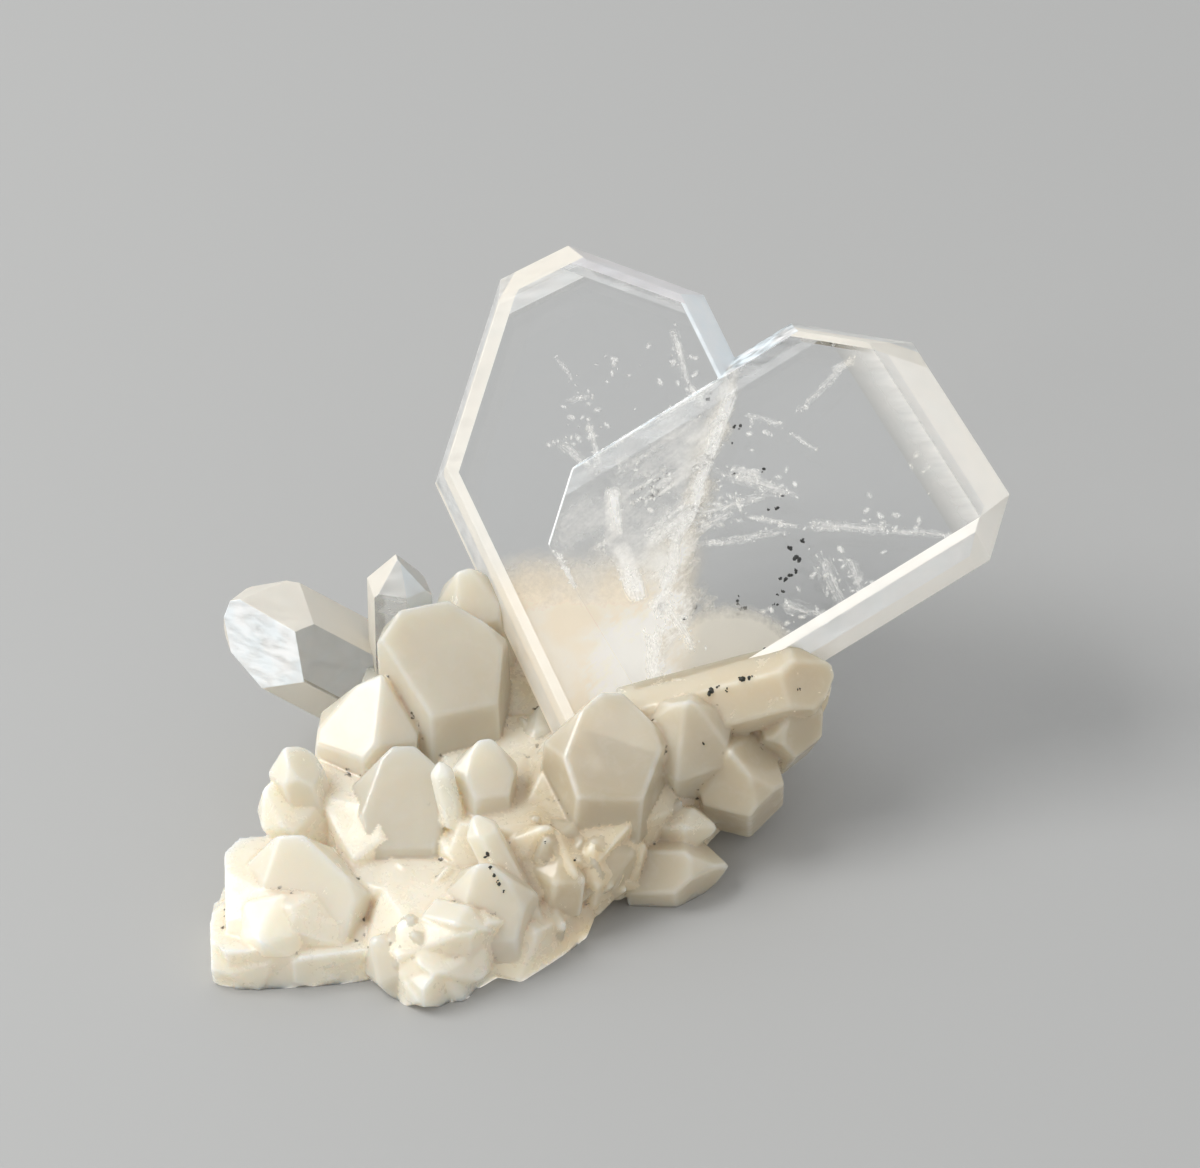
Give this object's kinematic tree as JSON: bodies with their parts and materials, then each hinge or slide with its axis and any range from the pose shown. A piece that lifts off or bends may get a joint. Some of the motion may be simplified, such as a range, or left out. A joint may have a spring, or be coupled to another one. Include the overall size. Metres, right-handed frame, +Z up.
{
  "type": "japan law twin quartz specimen",
  "caption": "Loose cluster of milky quartz carrying a heart-shaped plate of clear quartz, two flat crystals joined at a steep angle, and a clear side prism.",
  "frame": {"origin": "middle of the underside, on the flat cut that the cluster rests on", "axes": "+Z up, +X to the right as seen from the front, +Y to the back; the heart's plate leans back over +Y"},
  "size_m": [0.0388, 0.033, 0.0222],
  "materials": {
    "milky_quartz": "waxy translucent cream quartz with glassy crystal faces and ochre stains",
    "clear_quartz": "clear colourless quartz with polished natural faces, fine growth lines and white veils inside",
    "white_veil": "bright white healed cracks and cloudy streaks inside the clear quartz",
    "dark_speck": "matt black mineral grains inside the clear quartz"
  },
  "bodies": {
    "root": {"quartz_cluster": "milky_quartz"}
  },
  "joints": []
}
